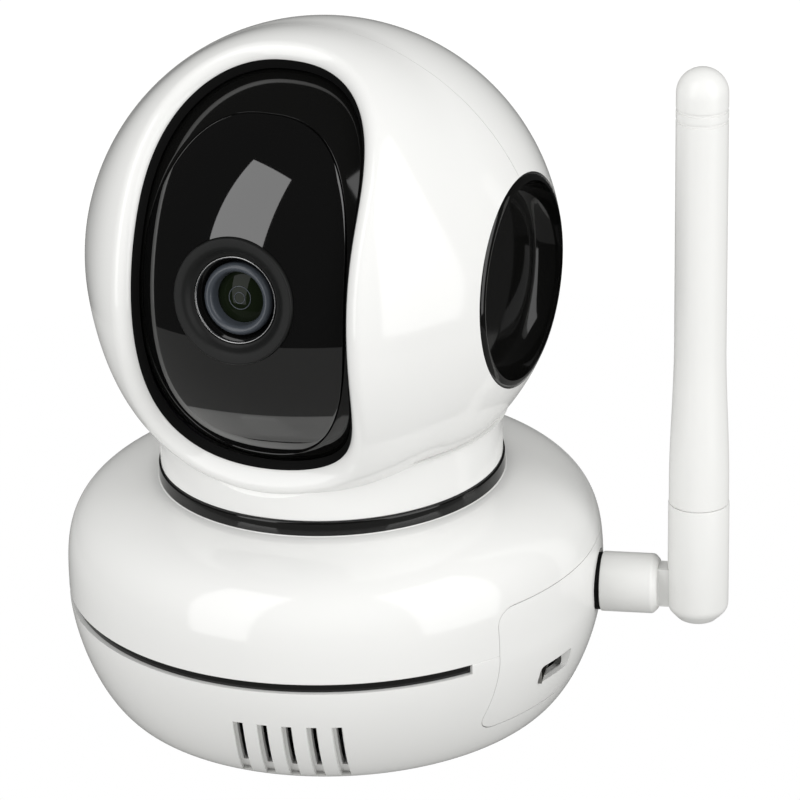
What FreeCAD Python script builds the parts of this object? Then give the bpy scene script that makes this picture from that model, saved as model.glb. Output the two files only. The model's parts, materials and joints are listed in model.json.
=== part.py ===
import FreeCAD, Part
import math
import os
import re

# Baby monitor camera: a round desk base, a head that pans on it, a camera ball that tilts
# inside the head, and a hinged antenna at the back.  Millimetres, +Z up, front towards -Y,
# origin at the middle of the underside on the pan axis.

V = FreeCAD.Vector
X_AXIS = V(1, 0, 0)
Y_AXIS = V(0, 1, 0)
Z_AXIS = V(0, 0, 1)

doc = FreeCAD.newDocument("baby_monitor_camera")
sheet = doc.addObject("Spreadsheet::Sheet", "Sizes")

SIZES = {
    # base casing
    "base_radius": 42.2,         # at the widest ring
    "base_wall": 2.4,
    "foot_radius": 34.0,         # where the belly meets the flat underside
    "underside": 0.65,            # the underside above the desk
    "widest": 19.2,              # height of the widest ring
    "seam": 20.1,                # height of the seam between the two shells
    "rim": 38.0,                # top edge of the upper shell
    "opening_radius": 27.6,      # hole in the upper shell
    "crown": 38.9,               # where the shoulder curve would meet the pan axis
    "shoulder_power": 3.93,       # superellipse powers of the two curves
    "belly_power": 1.565,
    "band_height": 1.55,
    "band_recess": 0.75,
    "band_thick": 0.95,
    "band_end": 27.3,            # the band stops this far behind the pan axis
    "vent_count": 5,
    "vent_pitch": 3.85,
    "vent_width": 1.65,
    "vent_slit": 0.85,
    "vent_depth": 1.2,
    "vent_top": 12.4,
    "vent_bottom": 1.5,
    "post_ring": 30.0,           # screw posts
    "post_radius": 3.0,
    "post_foot": 6.0,
    "screw_radius": 1.25,
    "screw_head": 2.2,
    "pilot_gap": 0.05,
    "pad_radius": 22.0,          # the round rubber foot
    "pad_thick": 1.25,
    # rear panel and what it carries
    "panel_half": 28.6,
    "panel_low": 6.9,
    "panel_high": 27.5,
    "panel_corner": 2.75,
    "panel_gap": 0.1,
    "panel_flange": 1.4,
    "flange_gap": 0.06,
    "usb_across": 16.9,
    "usb_height": 13.2,
    "usb_width": 7.5,
    "usb_tall": 2.7,
    "usb_deep": 5.6,
    "usb_mouth": 35.9,
    "usb_wall": 0.3,
    "button_height": 16.0,
    "button_radius": 2.0,
    "button_face": 39.4,
    "button_back": 32.6,
    "button_travel": 0.8,
    "running_gap": 0.05,
    # boards and speaker
    "board_top": 11.7,
    "board_thick": 1.6,
    "board_half": 24.0,
    "board_radius": 36.0,
    "speaker_radius": 9.0,
    "speaker_face": 30.5,
    "speaker_height": 12.8,
    # pan drive
    "deck_top": 33.2,
    "deck_thick": 2.0,
    "deck_radius": 34.0,
    "slide_radius": 22.0,
    "slide_thick": 1.5,
    "slide_gap": 0.1,
    "hub_radius": 11.0,
    "hub_bore": 7.0,
    "table_radius": 27.1,
    "table_floor": 2.0,
    "module": 0.5,
    "gear_thick": 3.0,
    "pan_teeth": 60,
    "tilt_teeth": 48,
    "pinion_teeth": 12,
    "mesh_gap": 0.12,
    "pan_motor_radius": 10.0,
    "pan_motor_top": 26.0,
    "pan_motor_tall": 12.0,
    # head
    "head_radius": 36.8,
    "head_wall": 2.2,
    "head_centre": 73.2,
    "neck_radius": 26.8,
    "neck_wall": 2.4,
    "neck_foot": 40.15,
    "pan_rest": 77.0,
    "tilt_rest": 8.1,
    "mouth_half": 18.1,          # half width of the face opening
    "mouth_middle": 27.6,        # elevation where it is widest, and its reach up and down
    "mouth_up": 47.3,
    "mouth_down": 72.3,
    "mouth_up_power": 2.6,
    "mouth_down_power": 5.0,
    "lip_width": 4.0,
    "lip_radius": 38.2,
    "liner_thick": 1.4,
    "liner_outer": 36.0,
    "liner_inner": 34.4,
    "ear_radius": 16.5,
    "ear_gap": 0.1,
    "ear_proud": 33.35,
    "ear_dish": 29.3,
    "ear_floor_radius": 13.2,
    "ear_rim_radius": 16.0,
    "ear_back": 27.8,
    "bracket_inner": 24.6,
    "bracket_outer": 26.6,
    "bracket_radius": 22.0,
    "bush_radius": 3.5,
    "axle_radius": 2.0,
    # camera ball
    "ball_radius": 34.0,
    "ball_wall": 2.0,
    "ball_half": 21.5,
    "window_half": 16.7,
    "window_tall": 26.3,
    "window_power": 2.5,
    "bezel_radius": 9.75,
    "bezel_face": 33.3,
    "bezel_bore": 6.76,
    "bezel_back": 28.0,
    "barrel_face": 31.9,
    "barrel_back": 18.0,
    "barrel_bore": 5.4,
    "glass_radius": 4.3,
    "glass_face": 31.2,
    "led_ring": 13.5,
    "led_radius": 1.5,
    "led_count": 8,
    "tilt_motor_radius": 6.0,
    # antenna
    "antenna_height": 20.1,
    "antenna_pivot": 57.5,
    "collar_radius": 4.7,
    "collar_start": 42.8,
    "collar_end": 51.4,
    "bushing_face": 42.5,
    "tongue_half": 1.7,
    "tongue_radius": 3.15,
    "slot_gap": 0.15,
    "hinge_pin": 1.1,
    "sleeve_radius": 4.75,
    "sleeve_foot": 14.7,
    "sleeve_top": 34.5,
    "sleeve_bevel": 2.0,
    "whip_low_radius": 4.65,
    "whip_radius": 4.0,
    "whip_taper": 60.8,
    "whip_top": 105.6,
    "whip_lean": 0.95,           # how far the whip stands back from upright
    "whip_band": 3.6,            # the straight part above the sleeve
}

for row, (alias, value) in enumerate(SIZES.items(), start=1):
    sheet.set("A%d" % row, alias)
    sheet.set("B%d" % row, str(value))
    sheet.setAlias("B%d" % row, alias)
doc.recompute()


def size(alias):
    """A driving size, read from the sheet."""
    return float(sheet.get(alias))


WORD = re.compile(r"\b(%s)\b" % "|".join(sorted(SIZES, key=len, reverse=True)))


def formula(text):
    """A formula in alias names, as a sheet expression."""
    return WORD.sub(r"Sizes.\1", str(text))


# ---------------------------------------------------------------- solids bound to the sheet

TURNS = {
    "X": FreeCAD.Rotation(Y_AXIS, 90),
    "Y": FreeCAD.Rotation(X_AXIS, -90),
    "Z": FreeCAD.Rotation(),
}


def bound(kind, name, sizes, x="0", y="0", z="0", turn=None):
    """A Part object whose sizes and place are formulas of the sheet."""
    thing = doc.addObject(kind, name)
    if turn is not None:
        thing.Placement = FreeCAD.Placement(V(), turn)
    for prop, text in sizes.items():
        thing.setExpression(prop, formula(text))
    for prop, text in (("x", x), ("y", y), ("z", z)):
        thing.setExpression("Placement.Base." + prop, formula(text))
    return thing


def rod(name, radius, length, axis="Z", **place):
    """A round bar that starts at its place and runs along an axis."""
    return bound("Part::Cylinder", name, {"Radius": radius, "Height": length}, turn=TURNS[axis], **place)


def cone(name, start_radius, end_radius, length, axis="Z", **place):
    """A round bar that tapers along an axis."""
    sizes = {"Radius1": start_radius, "Radius2": end_radius, "Height": length}
    return bound("Part::Cone", name, sizes, turn=TURNS[axis], **place)


def globe(name, radius, **place):
    """A full sphere."""
    return bound("Part::Sphere", name, {"Radius": radius}, **place)


def block(name, along_x, along_y, along_z, **place):
    """A box that starts at its lowest corner."""
    return bound("Part::Box", name, {"Length": along_x, "Width": along_y, "Height": along_z}, **place)


def centred(name, along_x, along_y, along_z, x="0", y="0", z="0"):
    """A box centred on its place."""
    corner = {"x": "(%s) - (%s) / 2" % (x, along_x), "y": "(%s) - (%s) / 2" % (y, along_y)}
    return block(name, along_x, along_y, along_z, z="(%s) - (%s) / 2" % (z, along_z), **corner)


def join(name, things):
    """Several solids as one."""
    fused = doc.addObject("Part::MultiFuse", name)
    fused.Shapes = things
    return fused


def carve(name, base, *tools):
    """A solid with the tools taken away."""
    result = doc.addObject("Part::Cut", name)
    result.Base = base
    result.Tool = tools[0] if len(tools) == 1 else join(name + "_tools", list(tools))
    return result


def meet(name, *things):
    """What several solids have in common."""
    result = doc.addObject("Part::MultiCommon", name)
    result.Shapes = list(things)
    return result


def tube(name, outer, inner, length, axis="Z", **place):
    """A pipe that starts at its place."""
    outside = rod(name + "_outside", outer, length, axis, **place)
    return carve(name, outside, rod(name + "_inside", inner, length, axis, **place))


def group(name, things):
    """Like pieces that share a node, as separate solids."""
    together = doc.addObject("Part::Compound", name)
    together.Links = things
    return together


def made(name, shape):
    """A solid that Part's own functions make from the sheet's values."""
    feature = doc.addObject("Part::Feature", name)
    feature.Shape = shape
    return feature


def around(count, ring, first=0.0):
    """Places evenly spaced on a ring, as formulas for x and y."""
    for step in range(count):
        angle = math.radians(first + 360.0 * step / count)
        yield {"x": "(%s) * %.9f" % (ring, math.cos(angle)), "y": "(%s) * %.9f" % (ring, math.sin(angle))}


NODES = {}
BASE = FreeCAD.Placement()
HEAD = FreeCAD.Placement(V(0, 0, size("head_centre")), FreeCAD.Rotation(Z_AXIS, size("pan_rest")))
BALL = HEAD.multiply(FreeCAD.Placement(V(), FreeCAD.Rotation(X_AXIS, -size("tilt_rest"))))
TURNED = FreeCAD.Placement(V(), FreeCAD.Rotation(Z_AXIS, size("pan_rest")))
# the pan wheel turns with the head, and at rest one of its teeth points at the pinion
SPUN = FreeCAD.Placement(V(), FreeCAD.Rotation(Z_AXIS, 90))
WHIP = FreeCAD.Placement(V(), FreeCAD.Rotation(X_AXIS, -size("whip_lean")),
                         V(0, size("antenna_pivot"), size("antenna_height")))


def node(thing, label, frame=BASE):
    """Names a finished sub-part and puts it in its frame."""
    if frame is not BASE and thing.ExpressionEngine:
        thing = group(thing.Name + "_placed", [thing])
    thing.Label = label
    thing.Placement = frame.multiply(thing.Placement)
    NODES[label] = thing
    return thing


# ---------------------------------------------------------------- turned casing of the base

CURVE_POINTS = 14


def quarter_curve(inner_radius, outer_radius, from_height, to_height, power):
    """A quarter superellipse, from the outer radius at one height to the inner at the other."""
    points = []
    for step in range(CURVE_POINTS + 1):
        turn = 0.5 * math.pi * step / CURVE_POINTS
        out = math.cos(turn) ** (2.0 / power) if step < CURVE_POINTS else 0.0
        rise = math.sin(turn) ** (2.0 / power)
        radius = inner_radius + (outer_radius - inner_radius) * out
        points.append(V(radius, 0, from_height + (to_height - from_height) * rise))
    curve = Part.BSplineCurve()
    curve.interpolate(points)
    return curve.toShape(), points[0], points[-1]


def casing(inset):
    """The base as a full turned solid, shrunk by a wall."""
    low = size("underside") + inset
    widest = size("widest")
    wide = size("base_radius") - inset
    belly, _, foot = quarter_curve(size("foot_radius") - inset, wide, widest, low, size("belly_power"))
    shoulder, _, top = quarter_curve(0, wide, widest, size("crown") - inset, size("shoulder_power"))
    edges = [Part.makeLine(V(0, 0, low), foot), belly, shoulder, Part.makeLine(top, V(0, 0, low))]
    face = Part.Face(Part.Wire(Part.__sortEdges__(edges)))
    return face.revolve(V(), Z_AXIS, 360)


def panel_prism(name, grow, from_y):
    """The rounded outline of the rear panel, run backwards from a plane."""
    half = size("panel_half") + grow
    low = size("panel_low") - grow
    high = size("panel_high") + grow
    prism = Part.makeBox(2 * half, 60, high - low, V(-half, from_y, low))
    upright = [edge for edge in prism.Edges if abs(edge.tangentAt(edge.FirstParameter).y) > 0.9]
    return made(name, prism.makeFillet(size("panel_corner") + grow, upright))


def casing_half(name, low, high):
    """The hollow casing between two heights."""
    wall = made(name + "_wall", casing(0).cut(casing(size("base_wall"))))
    slab = rod(name + "_slab", "base_radius * 2", "%s - %s" % (high, low), z=low)
    return meet(name + "_half", wall, slab)


def vents():
    """Grooves down both flanks of the belly, each with a slit through its floor."""
    core = casing(size("vent_depth"))
    middle = (size("vent_count") - 1) / 2
    tools = []
    for side in (-1, 1):
        for step in range(int(size("vent_count"))):
            along = (step - middle) * size("vent_pitch")
            for width, low, high, stop in (
                (size("vent_width"), size("vent_bottom"), size("vent_top"), core),
                (size("vent_slit"), size("vent_bottom") + 2.2, size("vent_top") - 0.5, None),
            ):
                corner = V(30 if side > 0 else -50, along - width / 2, low)
                slot = Part.makeBox(20, width, high - low, corner)
                tools.append(slot if stop is None else slot.cut(stop))
    return made("vent_tools", Part.makeCompound(tools))


def base_lower_shell():
    half = casing_half("lower", "underside", "seam")
    slot = tube("band_slot", "base_radius + 1", "base_radius - band_recess - band_thick", "band_height",
                z="seam - band_height")
    keep = block("band_reach", "base_radius * 4", "base_radius * 2 + band_end", "band_height",
                 x="-base_radius * 2", y="-base_radius * 2", z="seam - band_height")
    tools = [meet("band_cut", slot, keep), panel_prism("panel_hole_low", size("panel_gap"), 20), vents()]
    bosses = []
    for number, place in enumerate(around(4, "post_ring", 45)):
        bosses.append(rod("boss%d" % number, "post_radius + 0.6", "post_foot - underside - base_wall + 0.4",
                          z="underside + base_wall - 0.4", **place))
        tools.append(rod("screw_way%d" % number, "screw_radius + 0.2", "post_foot", z="0", **place))
        tools.append(rod("screw_sink%d" % number, "screw_head + 0.2", "1.4", z="underside - 0.2", **place))
    tools.append(rod("pad_sink", "pad_radius", "pad_thick", z="0"))
    for number, place in enumerate(around(4, "board_half - 4", 45)):
        bosses.append(rod("stand%d" % number, "2.2", "board_top - board_thick - underside - base_wall + 0.4",
                          z="underside + base_wall - 0.4", **place))
    node(carve("lower_shell", join("lower_solid", [half] + bosses), *tools), "base_lower_shell")


def base_upper_shell():
    half = casing_half("upper", "seam", "rim")
    posts = []
    holes = [rod("opening", "opening_radius", "10", z="rim - 5"),
             panel_prism("panel_hole_high", size("panel_gap"), 20)]
    for number, place in enumerate(around(4, "post_ring", 45)):
        posts.append(rod("post%d" % number, "post_radius", "rim - base_wall - post_foot - 0.4",
                         z="post_foot", **place))
        posts.append(rod("stop%d" % number, "post_radius + 1", "rim - base_wall - deck_top - 0.4",
                         z="deck_top", **place))
        holes.append(rod("pilot%d" % number, "screw_radius + pilot_gap", "16", z="post_foot", **place))
    node(carve("upper_shell", join("upper_solid", [half] + posts), *holes), "base_upper_shell")


def groove_band():
    ring = tube("band_ring", "base_radius - band_recess", "base_radius - band_recess - band_thick",
                "band_height", z="seam - band_height")
    reach = block("band_keep", "base_radius * 4", "base_radius * 2 + band_end", "band_height",
                  x="-base_radius * 2", y="-base_radius * 2", z="seam - band_height")
    node(meet("band", ring, reach), "groove_band")


def base_fixings():
    screws = []
    for number, place in enumerate(around(4, "post_ring", 45)):
        shank = rod("shank%d" % number, "screw_radius", "18", z="underside + 1.2", **place)
        head = rod("head%d" % number, "screw_head", "1", z="underside + 0.2", **place)
        screws.append(join("screw%d" % number, [shank, head]))
    node(group("screws", screws), "base_screws")
    node(rod("pad", "pad_radius", "pad_thick", z="0"), "foot_pad")


def rear_panel():
    wall = made("panel_wall", casing(0).cut(casing(size("base_wall"))))
    plate = meet("panel_plate", wall, panel_prism("panel_outline", 0, 20))
    inside = casing(size("base_wall")).common(panel_prism("panel_inside", 0, 20).Shape)
    behind = inside.fuse(casing(size("base_wall") + size("flange_gap")))
    backing = behind.cut(casing(size("base_wall") + size("panel_flange")))
    border = carve("panel_border", panel_prism("panel_wide", size("panel_flange"), 20),
                   panel_prism("panel_narrow", -size("panel_flange"), 19))
    flange = meet("panel_flange", made("panel_backing", backing), border)
    port = centred("usb_hole", "usb_width + 0.3", "30", "usb_tall + 0.3", x="usb_across",
                   y="usb_mouth", z="usb_height")
    button = rod("button_hole", "button_radius + running_gap", "20", "Y", x="-usb_across", y="25",
                 z="button_height")
    aerial = rod("bushing_hole", "3", "20", "Y", y="30", z="antenna_height")
    seat = rod("bushing_seat", "5.2", "4", "Y", y="bushing_face - 0.9", z="antenna_height")
    clear = [rod("post_clear%d" % number, "post_radius + 0.8", "panel_low + 2", z="0", **place)
             for number, place in enumerate(around(4, "post_ring", 45))]
    whole = join("panel_solid", [plate, flange])
    node(carve("panel", whole, port, button, aerial, seat, *clear), "rear_panel")


# ---------------------------------------------------------------- electronics in the base

def boards():
    blank = block("board_blank", "board_half * 2", "60", "board_thick", x="-board_half", y="-26",
                  z="board_top - board_thick")
    disc = rod("board_disc", "board_radius", "board_thick", z="board_top - board_thick")
    notches = [rod("notch%d" % number, "post_radius + 0.6", "board_thick", z="board_top - board_thick", **place)
               for number, place in enumerate(around(4, "post_ring", 45))]
    rear = block("board_rear", "80", "20", "board_thick", x="-40", y="32.2", z="board_top - board_thick")
    outline = meet("board_outline", blank, disc)
    node(carve("board", outline, rear, *notches), "main_board")
    can = block("can", "18", "14", "2.6", x="-9", y="4", z="board_top")
    node(carve("shield", can, block("can_inside", "17.4", "13.4", "2.3", x="-8.7", y="4.3", z="board_top")),
         "radio_shield")
    node(block("switch", "4.5", "2.2", "5", x="-usb_across - 2.25",
               y="button_back - button_travel - 2.4", z="board_top"),
         "pair_switch")


def usb_socket():
    shell = block("usb_shell", "usb_width", "usb_deep", "usb_tall", x="usb_across - usb_width / 2",
                  y="usb_mouth - usb_deep", z="usb_height - usb_tall / 2")
    hollow = block("usb_hollow", "usb_width - usb_wall * 2", "usb_deep - 0.5", "usb_tall - usb_wall * 2",
                   x="usb_across - usb_width / 2 + usb_wall", y="usb_mouth - usb_deep + 0.5",
                   z="usb_height - usb_tall / 2 + usb_wall")
    tongue = block("usb_tongue", "4.2", "usb_deep - 1", "0.6", x="usb_across - 2.1",
                   y="usb_mouth - usb_deep", z="usb_height + 0.2")
    foot = block("usb_foot", "usb_width - 1", "usb_deep - 1.5", "usb_height - usb_tall / 2 - board_top + 0.2",
                 x="usb_across - usb_width / 2 + 0.5", y="usb_mouth - usb_deep", z="board_top")
    case = carve("usb_case", shell, hollow)
    node(join("usb", [case, tongue, foot]), "usb_socket")


def speaker():
    place = {"y": "0", "z": "speaker_height"}
    frame = rod("frame_out", "speaker_radius", "3", "X", x="speaker_face - 3", **place)
    magnet = rod("magnet", "5.5", "3", "X", x="speaker_face - 6", **place)
    bowl = cone("bowl", "4", "speaker_radius - 1", "2.2", "X", x="speaker_face - 2.2", **place)
    foot = block("frame_foot", "3", "6", "4", x="speaker_face - 3", y="-3", z="underside + base_wall")
    node(carve("frame", join("frame_solid", [frame, magnet, foot]), bowl), "speaker_frame")
    film = carve("film", cone("film_out", "4", "speaker_radius - 1", "2.2", "X", x="speaker_face - 2.2", **place),
                 cone("film_in", "3.4", "speaker_radius - 1.6", "2.2", "X", x="speaker_face - 1.8", **place))
    node(film, "speaker_cone")


# ---------------------------------------------------------------- gears

def gear_face(teeth):
    """Straight-flanked teeth about the origin in XY, the first tooth on +X."""
    pitch = size("module") * teeth / 2
    tip = pitch + size("module") - size("mesh_gap") / 2
    root = pitch - 1.3 * size("module")
    share = 2 * math.pi / teeth
    points = []
    for number in range(teeth):
        middle = number * share
        for radius, part in ((root, -0.31), (tip, -0.11), (tip, 0.11), (root, 0.31)):
            angle = middle + part * share
            points.append(V(radius * math.cos(angle), radius * math.sin(angle), 0))
    return Part.Face(Part.makePolygon(points + [points[0]]))


def gear(name, teeth, thick, bore, phase=0.0):
    """A spur gear about Z with a bore, turned by its phase in degrees."""
    solid = gear_face(teeth).extrude(V(0, 0, thick))
    if bore:
        solid = solid.cut(Part.makeCylinder(bore, thick))
    solid.rotate(V(), Z_AXIS, phase)
    return made(name, solid)


def centre_distance(teeth):
    """Between a wheel and the pinion that drives it."""
    return size("module") * (teeth + size("pinion_teeth")) / 2 + size("mesh_gap")


# ---------------------------------------------------------------- pan drive

def pan_drive():
    plate = rod("deck_plate", "deck_radius", "deck_thick", z="deck_top - deck_thick")
    spacers = [rod("spacer%d" % side, "2", "deck_top - deck_thick - pan_motor_top", x=str(12.5 * side),
                   y=str(-centre_distance(size("pan_teeth"))), z="pan_motor_top") for side in (-1, 1)]
    holes = [rod("deck_hole%d" % number, "post_radius", "deck_thick", z="deck_top - deck_thick", **place)
             for number, place in enumerate(around(4, "post_ring", 45))]
    bore = rod("deck_bore", "hub_radius + running_gap", "deck_thick", z="deck_top - deck_thick")
    node(carve("deck", join("deck_solid", [plate] + spacers), bore, *holes), "pan_deck")
    node(tube("slide", "slide_radius", "slide_radius - 4", "slide_thick", z="deck_top"), "bearing_ring")

    away = -centre_distance(size("pan_teeth"))
    case = rod("pan_case", "pan_motor_radius", "pan_motor_tall", y=str(away),
               z="pan_motor_top - pan_motor_tall")
    ears = centred("pan_ears", "29", "6", "1", y=str(away), z="pan_motor_top - 0.5")
    way = rod("pan_way", "1 + running_gap", "8", y=str(away), z="pan_motor_top - 6")
    node(carve("pan_stepper", join("pan_stepper_solid", [case, ears]), way), "pan_motor")

    floor = "deck_top + slide_thick + slide_gap"
    disc = rod("table_disc", "table_radius", "neck_foot - (%s)" % floor, z=floor)
    well = rod("table_well", "table_radius - neck_wall - 1.4", "20", z=floor + " + table_floor")
    step = tube("table_step", "table_radius + 1", "neck_radius - neck_wall - running_gap", "20", z="neck_foot")
    lip = rod("table_lip", "neck_radius - neck_wall - running_gap", "2.6", z="neck_foot")
    hub = rod("table_hub", "hub_radius", "deck_thick + slide_thick + slide_gap * 2 + 0.05",
              z="deck_top - deck_thick - slide_gap - 0.05")
    bore = rod("table_bore", "hub_bore", "40", z="deck_top - 10")
    node(carve("table", join("table_solid", [disc, lip, hub]), well, step, bore), "turntable", TURNED)

    top = size("deck_top") - size("deck_thick") - size("slide_gap") - 0.05
    wheel = gear("pan_wheel", int(size("pan_teeth")), size("gear_thick"), size("hub_bore"))
    wheel.Placement = FreeCAD.Placement(V(0, 0, top - size("gear_thick")), FreeCAD.Rotation(Z_AXIS, 0))
    holes = [rod("wheel_hole%d" % number, "1", "10", z="deck_top - deck_thick - 8", **place)
             for number, place in enumerate(around(3, "(hub_radius + hub_bore) / 2"))]
    node(carve("pan_wheel_drilled", wheel, *holes), "pan_gear", SPUN)
    screws = []
    for number, place in enumerate(around(3, "(hub_radius + hub_bore) / 2")):
        shank = rod("wheel_shank%d" % number, "0.95", "gear_thick", z=str(top - size("gear_thick")), **place)
        head = rod("wheel_head%d" % number, "1.8", "1", z=str(top - size("gear_thick") - 1), **place)
        screws.append(join("wheel_screw%d" % number, [shank, head]))
    node(group("wheel_screws", screws), "gear_screws", SPUN)

    teeth = int(size("pinion_teeth"))
    toothed = gear("pan_small", teeth, size("gear_thick"), 0, 90 + 180.0 / teeth)
    toothed.Placement = FreeCAD.Placement(V(0, away, top - size("gear_thick") - 0.1),
                                          toothed.Placement.Rotation)
    shaft = rod("pan_shaft", "1", "9", y=str(away), z="pan_motor_top - 5")
    node(join("pan_drive_pinion", [toothed, shaft]), "pan_pinion")


# ---------------------------------------------------------------- head

OUTLINE_POINTS = 40


def mouth_cone(name, grow):
    """The face opening run outwards from the head's centre: a superellipse drawn on the
    sphere, with a rounder upper end, widened all round by some millimetres."""
    ball = size("head_radius")
    half = size("mouth_half") + grow
    widen = math.degrees(grow / ball)
    up = FreeCAD.Rotation(X_AXIS, size("mouth_middle") + (size("mouth_up") - size("mouth_down")) / 2)
    points = []
    for step in range(OUTLINE_POINTS):
        turn = 2 * math.pi * step / OUTLINE_POINTS
        end = "mouth_up" if math.sin(turn) >= 0 else "mouth_down"
        power = 2 / size(end + "_power")
        side = half * math.copysign(abs(math.cos(turn)) ** power, math.cos(turn))
        rise = (size(end) + widen) * math.copysign(abs(math.sin(turn)) ** power, math.sin(turn))
        angle = math.radians(size("mouth_middle") + rise)
        reach = math.sqrt(ball * ball - side * side)
        spot = up.multVec(V(side, -reach * math.cos(angle), reach * math.sin(angle)))
        points.append(spot.multiply(1.0 / -spot.y))
    return made(name, cone_between(points, 12.0, 60.0, up.inverted()))


def cone_between(points, near, far, turn):
    """The solid between two sizes of one flat outline that both point at the centre."""
    wires = []
    for distance in (near, far):
        curve = Part.BSplineCurve()
        curve.interpolate([V(p).multiply(distance) for p in points], PeriodicFlag=True)
        wires.append(Part.Wire(curve.toShape()))
    solid = Part.makeLoft(wires, True, True)
    solid.Placement = FreeCAD.Placement(V(), turn)
    return solid


def hollow_sphere(name, outer, inner):
    return carve(name, globe(name + "_outside", outer), globe(name + "_inside", inner))


def half_space(name, front):
    """A big box on one side of the plane through the pan and tilt axes."""
    return block(name, "200", "100", "200", x="-100", y="-100" if front else "0", z="-100")


def ear_holes(name):
    return [rod(name + str(side), "ear_radius + ear_gap", "40", "X", x="20" if side > 0 else "-60")
            for side in (-1, 1)]


# how far below the head's centre the sphere meets the neck
NECK_JOIN = "sqrt(head_radius ^ 2 - neck_radius ^ 2)"


def head_shells():
    shell = hollow_sphere("head_wall_front", "head_radius", "head_radius - head_wall")
    front = meet("head_front_half", shell, half_space("front_space", True))
    bottom = block("front_bottom", "200", "200", "100", x="-100", y="-100", z="-(%s) - 100" % NECK_JOIN)
    lipped = hollow_sphere("lip_wall", "lip_radius", "head_radius - head_wall")
    lip = meet("lip", lipped, mouth_cone("lip_cone", size("lip_width")))
    trimmed = carve("front_trimmed", front, bottom, *ear_holes("front_ear"))
    whole = join("front_whole", [trimmed, lip])
    seat = meet("liner_seat", globe("liner_seat_globe", "liner_outer"),
                mouth_cone("liner_seat_cone", size("liner_thick")))
    node(carve("front_shell", whole, mouth_cone("front_mouth", 0.0), seat), "head_front_shell", HEAD)

    back_shell = hollow_sphere("head_wall_rear", "head_radius", "head_radius - head_wall")
    rear = meet("head_rear_half", back_shell, half_space("rear_space", False))
    below = block("rear_bottom", "200", "200", "100", x="-100", y="-100", z="-(%s) - 100" % NECK_JOIN)
    node(carve("rear_shell", rear, below, *ear_holes("rear_ear")), "head_rear_shell", HEAD)

    ring = meet("liner_ring", hollow_sphere("liner_wall", "liner_outer", "liner_inner"),
                mouth_cone("liner_cone", size("liner_thick")))
    node(carve("liner", ring, mouth_cone("mouth", 0.0)), "opening_liner", HEAD)

    collar = tube("collar_pipe", "neck_radius", "neck_radius - neck_wall",
                  "head_centre - neck_foot - (%s)" % NECK_JOIN,
                  z="neck_foot - head_centre")
    node(carve("collar", collar, mouth_cone("collar_lip", size("lip_width"))), "neck_collar", HEAD)


def ears_and_brackets():
    for side, label in ((-1, "left"), (1, "right")):
        name = "ear_" + label
        turn = "X"
        start = {"x": "ear_back"} if side > 0 else {"x": "-ear_proud"}
        disc = rod(name + "_disc", "ear_radius", "ear_proud - ear_back", turn, **start)
        hub = rod(name + "_hub", "6", "ear_back - bracket_outer", turn,
                  x="bracket_outer" if side > 0 else "-ear_back")
        if side > 0:
            dish = cone(name + "_dish", "ear_floor_radius", "ear_rim_radius", "ear_proud - ear_dish", turn,
                        x="ear_dish")
        else:
            dish = cone(name + "_dish", "ear_rim_radius", "ear_floor_radius", "ear_proud - ear_dish", turn,
                        x="-ear_proud")
        node(carve(name, join(name + "_solid", [disc, hub]), dish), "ear_cap_" + label, HEAD)

        plate = rod("bracket_plate_" + label, "bracket_radius", "bracket_outer - bracket_inner", turn,
                    x="bracket_inner" if side > 0 else "-bracket_outer")
        holes = [rod("bracket_bore_" + label, "bush_radius", "100", turn, x="-50")]
        for number in range(3):
            angle = math.radians(30 + 120 * number)
            holes.append(rod("bracket_hole_%s%d" % (label, number), "3.2", "100", turn, x="-50",
                             y=str(16.5 * math.cos(angle)), z=str(16.5 * math.sin(angle))))
        node(carve("bracket_" + label, plate, *holes), "tilt_bracket_" + label, HEAD)

    bushes = [tube("bush%d" % side, "bush_radius", "axle_radius + running_gap",
                   "bracket_outer - bracket_inner", "X", x="bracket_inner" if side > 0 else "-bracket_outer")
              for side in (-1, 1)]
    node(group("bushes", bushes), "tilt_bushes", HEAD)

    wheel = gear("tilt_wheel", int(size("tilt_teeth")), 2.0, size("bush_radius"))
    wheel.Placement = FreeCAD.Placement(V(-size("bracket_inner"), 0, 0), ACROSS)
    node(wheel, "tilt_gear", BALL)


# gear teeth are drawn in XY; this stands them in YZ, along +X, with the first tooth towards +Y
ACROSS = FreeCAD.Rotation(V(0, 1, 0), V(0, 0, 1), V(1, 0, 0), "ZXY")


# ---------------------------------------------------------------- camera ball

def ball_wall(name):
    outer = meet(name + "_outer", globe(name + "_globe", "ball_radius"),
                 centred(name + "_slab", "ball_half * 2", "100", "100"))
    inner = meet(name + "_inner", globe(name + "_core", "ball_radius - ball_wall"),
                 centred(name + "_core_slab", "(ball_half - ball_wall) * 2", "100", "100"))
    return carve(name, outer, inner)


def window_prism(name):
    """The superellipse outline of the window, run forwards."""
    power = 2 / size("window_power")
    points = []
    for step in range(OUTLINE_POINTS):
        turn = 2 * math.pi * step / OUTLINE_POINTS
        across = math.copysign(abs(math.cos(turn)) ** power, math.cos(turn))
        rise = math.copysign(abs(math.sin(turn)) ** power, math.sin(turn))
        points.append(V(size("window_half") * across, 0, size("window_tall") * rise))
    curve = Part.BSplineCurve()
    curve.interpolate(points, PeriodicFlag=True)
    return made(name, Part.Face(Part.Wire(curve.toShape())).extrude(V(0, -60, 0)))


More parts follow.
